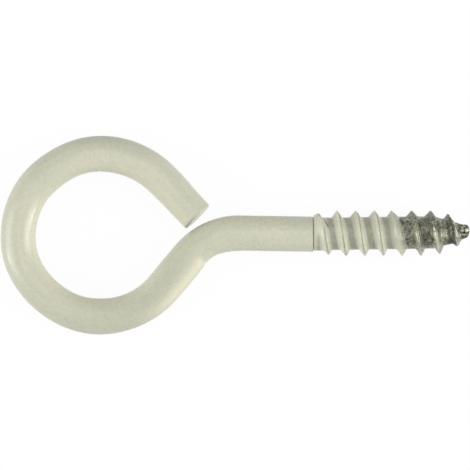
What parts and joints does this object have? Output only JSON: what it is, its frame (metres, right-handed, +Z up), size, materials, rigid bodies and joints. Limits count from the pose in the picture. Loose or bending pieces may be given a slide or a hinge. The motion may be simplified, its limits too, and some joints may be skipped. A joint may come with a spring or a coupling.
{
  "type": "screw eye",
  "caption": "Coated steel screw eye, lying flat: a wire bent into an open round eye, an offset neck, a plain shank and a right-handed wood thread with a blunt stub tip.",
  "frame": {"origin": "on the ground, under the middle of the screw eye as it lies on its side", "axes": "+X along the shank towards the tip, +Y across the eye towards its free end, +Z up, through the eye"},
  "size_m": [0.05, 0.0212, 0.0049],
  "materials": {
    "coated_wire": "satin cream coat, worn to bare grey steel at the tip"
  },
  "bodies": {
    "root": {"screw_eye": "coated_wire"}
  },
  "joints": []
}
